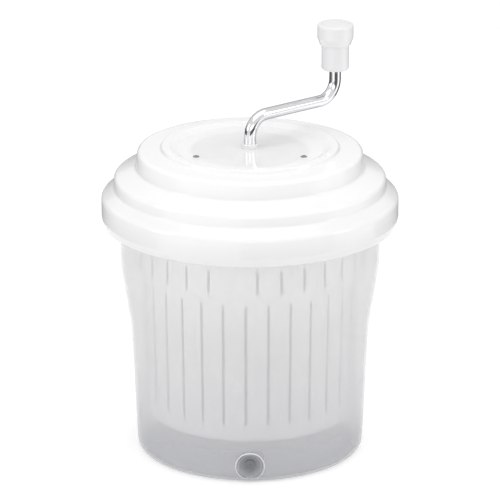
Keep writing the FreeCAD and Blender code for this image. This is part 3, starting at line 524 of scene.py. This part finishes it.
basketShape = {
    "corners": [
        (9, 56, 0.4), (153, 56, 8.5), (157.5, 274, 2.5), (168, 278, 2.5), (168.5, 342, 1),
        (176, 342, 0.8), (176, 345, 1), (166, 345, 1), (165.5, 279.4, 1.5), (155, 275.4, 1.5),
        (150.5, 59, 6), (15, 59, 2), (15, 75, 1), (9, 75, 0.5),
    ],
    "sides": 180, "slotWidth": 4.6, "slotRoundness": 0.49, "notchRoundness": 0.15,
    "cutterReach": 11.0, "cutterArcSteps": 4,
    "rings": [  # name, count, ring radius, height of middle, length, turned
        ("Low Slots", 30, 155.5, 175.0, 184.0, -92.2),
        ("High Slots", 30, 168.0, 303.5, 35.0, -86.5),
        ("Inner Floor Slots", 12, 47.0, 57.5, 30.0, 0.0),
        ("Middle Floor Slots", 20, 87.0, 57.5, 30.0, 0.0),
        ("Outer Floor Slots", 30, 126.0, 57.5, 28.0, 0.0),
    ],
    "notches": (6, 170.0, 350.5, 32.0, 12.6),  # count, ring radius, height of middle, length, width
}


def addRing(tree, inputs, label, flat, roundness):
    # one ring of round-ended cutters; flat ones lie in the floor, the others stand in the wall
    new, wire = tree.nodes.new, tree.links.new
    outline = new("GeometryNodeCurvePrimitiveQuadrilateral")
    wire(inputs[f"{label} Length"], outline.inputs["Width"])
    wire(inputs[f"{label} Width"], outline.inputs["Height"])
    rounding = new("ShaderNodeMath")
    rounding.operation = "MULTIPLY"
    rounding.inputs[1].default_value = roundness
    wire(inputs[f"{label} Width"], rounding.inputs[0])
    fillet = new("GeometryNodeFilletCurve")
    fillet.mode = "POLY"
    fillet.inputs["Count"].default_value = basketShape["cutterArcSteps"]
    wire(outline.outputs["Curve"], fillet.inputs["Curve"])
    wire(rounding.outputs["Value"], fillet.inputs["Radius"])
    line = new("GeometryNodeCurvePrimitiveLine")
    line.inputs["Start"].default_value = (0, 0, -basketShape["cutterReach"] * mm)
    line.inputs["End"].default_value = (0, 0, basketShape["cutterReach"] * mm)
    prism = new("GeometryNodeCurveToMesh")
    prism.inputs["Fill Caps"].default_value = True
    wire(line.outputs["Curve"], prism.inputs["Curve"])
    wire(fillet.outputs["Curve"], prism.inputs["Profile Curve"])
    stand = new("GeometryNodeTransform")
    if not flat:
        stand.inputs["Rotation"].default_value = (0, math.radians(90), 0)
    wire(prism.outputs["Mesh"], stand.inputs["Geometry"])
    ring = new("GeometryNodeMeshCircle")
    wire(inputs[f"{label} Count"], ring.inputs["Vertices"])
    wire(inputs[f"{label} Radius"], ring.inputs["Radius"])
    place = new("GeometryNodeInputPosition")
    face = new("FunctionNodeAlignRotationToVector")
    face.axis = "X"
    wire(place.outputs["Position"], face.inputs["Vector"])
    copies = new("GeometryNodeInstanceOnPoints")
    wire(ring.outputs["Mesh"], copies.inputs["Points"])
    wire(stand.outputs["Geometry"], copies.inputs["Instance"])
    wire(face.outputs["Rotation"], copies.inputs["Rotation"])
    lift = new("ShaderNodeCombineXYZ")
    wire(inputs[f"{label} Height"], lift.inputs["Z"])
    turn = new("ShaderNodeCombineXYZ")
    wire(inputs[f"{label} Turn"], turn.inputs["Z"])
    move = new("GeometryNodeTransform")
    wire(copies.outputs["Instances"], move.inputs["Geometry"])
    wire(lift.outputs["Vector"], move.inputs["Translation"])
    wire(turn.outputs["Vector"], move.inputs["Rotation"])
    return move.outputs["Geometry"]


def slotTree(rings):
    # cuts every ring of slots out of the incoming shell
    tree = bpy.data.node_groups.new("basketSlots", "GeometryNodeTree")
    tree.interface.new_socket("Geometry", in_out="INPUT", socket_type="NodeSocketGeometry")
    tree.interface.new_socket("Geometry", in_out="OUTPUT", socket_type="NodeSocketGeometry")
    for label, (sizes, _, _) in rings.items():
        for field, value in sizes.items():
            kind = "NodeSocketInt" if field == "Count" else "NodeSocketFloat"
            socket = tree.interface.new_socket(f"{label} {field}", in_out="INPUT", socket_type=kind)
            socket.default_value = value
    tree.interface.new_socket("Material", in_out="INPUT", socket_type="NodeSocketMaterial")
    entry = tree.nodes.new("NodeGroupInput")
    join = tree.nodes.new("GeometryNodeJoinGeometry")
    for label, (_, flat, roundness) in rings.items():
        tree.links.new(addRing(tree, entry.outputs, label, flat, roundness), join.inputs["Geometry"])
    real = tree.nodes.new("GeometryNodeRealizeInstances")
    tree.links.new(join.outputs["Geometry"], real.inputs["Geometry"])
    cut = tree.nodes.new("GeometryNodeMeshBoolean")
    cut.operation = "DIFFERENCE"
    cut.solver = "EXACT"
    tree.links.new(entry.outputs["Geometry"], cut.inputs["Mesh 1"])
    tree.links.new(real.outputs["Geometry"], cut.inputs["Mesh 2"])
    whole = tree.nodes.new("GeometryNodeRealizeInstances")
    tree.links.new(cut.outputs["Mesh"], whole.inputs["Geometry"])
    paint = tree.nodes.new("GeometryNodeSetMaterial")
    tree.links.new(whole.outputs["Geometry"], paint.inputs["Geometry"])
    tree.links.new(entry.outputs["Material"], paint.inputs["Material"])
    leave = tree.nodes.new("NodeGroupOutput")
    tree.links.new(paint.outputs["Geometry"], leave.inputs["Geometry"])
    return tree


def runTree(piece, tree, values):
    modifier = piece.modifiers.new(tree.name, "NODES")
    modifier.node_group = tree
    for item in tree.interface.items_tree:
        if item.in_out == "INPUT" and item.name in values:
            modifier[item.identifier] = values[item.name]
    settle(piece)


def ringSizes(count, radius, height, length, width, turned):
    return {"Count": count, "Radius": radius * mm, "Height": height * mm, "Length": length * mm,
            "Width": width * mm, "Turn": math.radians(turned)}


def makeBasket():
    # rings holds, for each ring, its sizes, whether its cutters lie flat, and how round their ends are
    look = basketShape
    rings = {}
    for name, count, radius, height, length, turned in look["rings"]:
        sizes = ringSizes(count, radius, height, length, look["slotWidth"], turned)
        rings[name] = (sizes, "Floor" in name, look["slotRoundness"])
    count, radius, height, length, width = look["notches"]
    rings["Notches"] = (ringSizes(count, radius, height, length, width, 0), False, look["notchRoundness"])
    basket = turnedPiece("basket_mould", look["corners"], look["sides"])
    values = {"Material": finishes["basket"]}
    for label, (sizes, _, _) in rings.items():
        values.update({f"{label} {field}": value for field, value in sizes.items()})
    runTree(basket, slotTree(rings), values)
    finishPiece(basket, "basket_body", "basket", "basket")


# crank bar: a round bar swept along its bent line

crankShape = {
    "radius": 8.5, "bottom": 435.0, "armHeight": 499.0, "reach": 161.0, "bend": 29.0, "top": 552.0,
    "spigotRadius": 5.0, "spigotTop": 594.0, "turned": 39.5, "sides": 40, "bendSteps": 14,
    "footChamfer": 0.6, "topChamfer": 0.8, "spigotChamfer": 0.5, "hold": 3.0, "step": 0.01,
    "armParts": (0.02, 0.35, 0.65, 0.98),  # where the arm's straight run gets a ring
}


def crankStations():
    # each ring of the swept bar is (distance out, height, lean from upright, radius)
    look = crankShape
    radius, low, arm, reach, bend = (look[key] for key in ("radius", "bottom", "armHeight", "reach", "bend"))
    top, spigot, spigotTop = look["top"], look["spigotRadius"], look["spigotTop"]
    stations = [(0, low, 0, radius - look["footChamfer"]), (0, low + look["footChamfer"], 0, radius),
                (0, low + look["hold"], 0, radius)]
    for step in range(look["bendSteps"] + 1):
        angle = math.pi / 2 * step / look["bendSteps"]
        stations.append((bend - bend * math.cos(angle), arm - bend + bend * math.sin(angle), angle, radius))
    for part in look["armParts"]:
        stations.append((bend + (reach - 2 * bend) * part, arm, math.pi / 2, radius))
    for step in range(look["bendSteps"] + 1):
        angle = math.pi / 2 * step / look["bendSteps"]
        stations.append((reach - bend + bend * math.sin(angle), arm + bend - bend * math.cos(angle),
                         math.pi / 2 - angle, radius))
    stations += [
        (reach, top - look["topChamfer"], 0, radius), (reach, top, 0, radius - look["topChamfer"]),
        (reach, top + look["step"], 0, spigot), (reach, spigotTop - look["spigotChamfer"], 0, spigot),
        (reach, spigotTop, 0, spigot - look["spigotChamfer"]),
    ]
    return stations


def makeCrank():
    sides = crankShape["sides"]
    stations = crankStations()
    verts, faces = [], []
    for along, height, lean, radius in stations:
        for side in range(sides):
            angle = 2 * math.pi * side / sides
            across = radius * math.cos(angle)
            verts.append(Vector((along + across * math.cos(lean), radius * math.sin(angle),
                                 height - across * math.sin(lean))) * mm)
    for station in range(len(stations) - 1):
        for side in range(sides):
            after = (side + 1) % sides
            faces.append((station * sides + side, station * sides + after,
                          (station + 1) * sides + after, (station + 1) * sides + side))
    faces.append(tuple(reversed(range(sides))))
    faces.append(tuple(range((len(stations) - 1) * sides, len(stations) * sides)))
    mesh = bpy.data.meshes.new("crank_bar")
    mesh.from_pydata(verts, [], faces)
    mesh.transform(Matrix.Rotation(math.radians(crankShape["turned"]), 4, "Z"))
    finishPiece(newPiece("crank_bar", mesh), "crank_body", "chrome", "crank_rod")


# knob: turned shell on the crank's spigot

knobShape = {
    "corners": [
        (9.1, 542.5, 0.8), (18.2, 542.5, 0.8), (20, 545, 3), (20, 579.5, 1.2), (22.6, 580.5, 1),
        (26.3, 590.5, 4), (26.3, 611.5, 4.5), (19.4, 611.5, 0.5), (19.4, 594, 0.4), (8.06, 594, 0),
        (8.06, 552.5, 0), (9.1, 552.5, 0),
    ],
    "sides": 96, "hold": 0.6,
}


def makeKnob():
    angle = math.radians(crankShape["turned"])
    place = (crankShape["reach"] * math.cos(angle), crankShape["reach"] * math.sin(angle), 0)
    knob = turnedPiece("knob_shell", knobShape["corners"], knobShape["sides"], knobShape["hold"])
    shift(knob, place)
    finishPiece(knob, "knob_body", "knob_plastic", "knob")


makeTub()
makeBead()
makeLid()
makeBasket()
makeCrank()
makeKnob()


# floor, light and camera

stageLook = {  # metres and watts
    "floorSize": 30.0, "floorHeight": -0.0004, "floorColour": (0.93, 0.93, 0.93), "floorRoughness": 0.9,
    "floorSpecular": 0.1, "floorGlow": 0.20,
    "skyStrength": 0.80,
    "cardRadius": 1.0, "cardHeight": 0.6, "cardColour": (0.10, 0.10, 0.105), "cardStep": 6,
    "cards": [(-175, -68), (-6, 62), (102, 170)],  # degrees round from the front
    "panels": [  # name, place, aim, size, power
        ("topPanel", (0.1, -0.3, 2.6), (0, 0, 0.4), (2.5, 2.1), 16),
        ("leftPanel", (-2.1, -0.75, 1.5), (0, 0, 0.35), (0.6, 1.0), 6),
        ("rightPanel", (2.1, -0.55, 1.5), (0, 0, 0.35), (0.6, 1.0), 4.5),
        ("frontPanel", (0, -3.4, 1.7), (0, 0, 0.3), (2.2, 1.0), 12),
    ],
    "strips": [
        ("leftStrip", (-2.05, -0.55, 1.25), (0, 0, 0.4), (0.22, 0.45), 4),
        ("rightStrip", (2.05, -0.55, 1.25), (0, 0, 0.4), (0.22, 0.45), 4),
    ],
    "cameraDistance": 5.3, "cameraHeight": 2.094, "cameraTilt": 71.28, "cameraLens": 277.0,
    "cameraReach": 60,
}


def makeFloor():
    half = stageLook["floorSize"] / 2
    mesh = bpy.data.meshes.new("floor")
    verts = [(-half, -half, 0), (half, -half, 0), (half, half, 0), (-half, half, 0)]
    mesh.from_pydata(verts, [], [(0, 1, 2, 3)])
    floor = newPiece("floor", mesh)
    floor.location.z = stageLook["floorHeight"]
    material, _, shader, _ = startMaterial("paleFloor")
    shader.inputs["Base Color"].default_value = (*stageLook["floorColour"], 1)
    shader.inputs["Roughness"].default_value = stageLook["floorRoughness"]
    shader.inputs["Specular IOR Level"].default_value = stageLook["floorSpecular"]
    shader.inputs["Emission Color"].default_value = (1, 1, 1, 1)
    shader.inputs["Emission Strength"].default_value = stageLook["floorGlow"]
    floor.data.materials.append(material)


def makeCards():
    # dark studio cards that only bright metal and gloss mirror
    material, _, shader, _ = startMaterial("darkCard")
    shader.inputs["Base Color"].default_value = (*stageLook["cardColour"], 1)
    shader.inputs["Roughness"].default_value = 1.0
    verts, faces = [], []
    for first, last in stageLook["cards"]:
        steps = int((last - first) / stageLook["cardStep"])
        for step in range(steps + 1):
            angle = math.radians(first + (last - first) * step / steps)
            x, y = stageLook["cardRadius"] * math.sin(angle), -stageLook["cardRadius"] * math.cos(angle)
            verts += [(x, y, 0.0), (x, y, stageLook["cardHeight"])]
            if step:
                end = len(verts)
                faces.append((end - 4, end - 2, end - 1, end - 3))
    mesh = bpy.data.meshes.new("studioCards")
    mesh.from_pydata(verts, [], faces)
    cards = newPiece("studioCards", mesh)
    cards.data.materials.append(material)
    for ray in ("camera", "diffuse", "transmission", "volume_scatter", "shadow"):
        setattr(cards, f"visible_{ray}", False)


def makeSky():
    world = bpy.data.worlds.new("studio")
    scene.world = world
    world.use_nodes = True
    background = world.node_tree.nodes["Background"]
    background.inputs["Color"].default_value = (1, 1, 1, 1)
    background.inputs["Strength"].default_value = stageLook["skyStrength"]


def areaLight(name, place, aim, size, power):
    lamp = bpy.data.lights.new(name, "AREA")
    lamp.shape = "RECTANGLE"
    lamp.size, lamp.size_y = size
    lamp.energy = power
    light = bpy.data.objects.new(name, lamp)
    scene.collection.objects.link(light)
    light.location = place
    light.rotation_euler = (Vector(aim) - Vector(place)).to_track_quat("-Z", "Y").to_euler()
    return light


def makeCamera():
    camera = bpy.data.objects.new("camera", bpy.data.cameras.new("camera"))
    scene.collection.objects.link(camera)
    camera.data.lens = stageLook["cameraLens"]
    camera.data.clip_end = stageLook["cameraReach"]
    camera.location = (0, -stageLook["cameraDistance"], stageLook["cameraHeight"])
    camera.rotation_euler = (math.radians(stageLook["cameraTilt"]), 0, 0)
    scene.camera = camera


makeFloor()
makeCards()
makeSky()
for panel in stageLook["panels"]:
    areaLight(*panel)
for strip in stageLook["strips"]:
    areaLight(*strip).visible_diffuse = False  # a glint on the gloss only
makeCamera()
print("stage set")
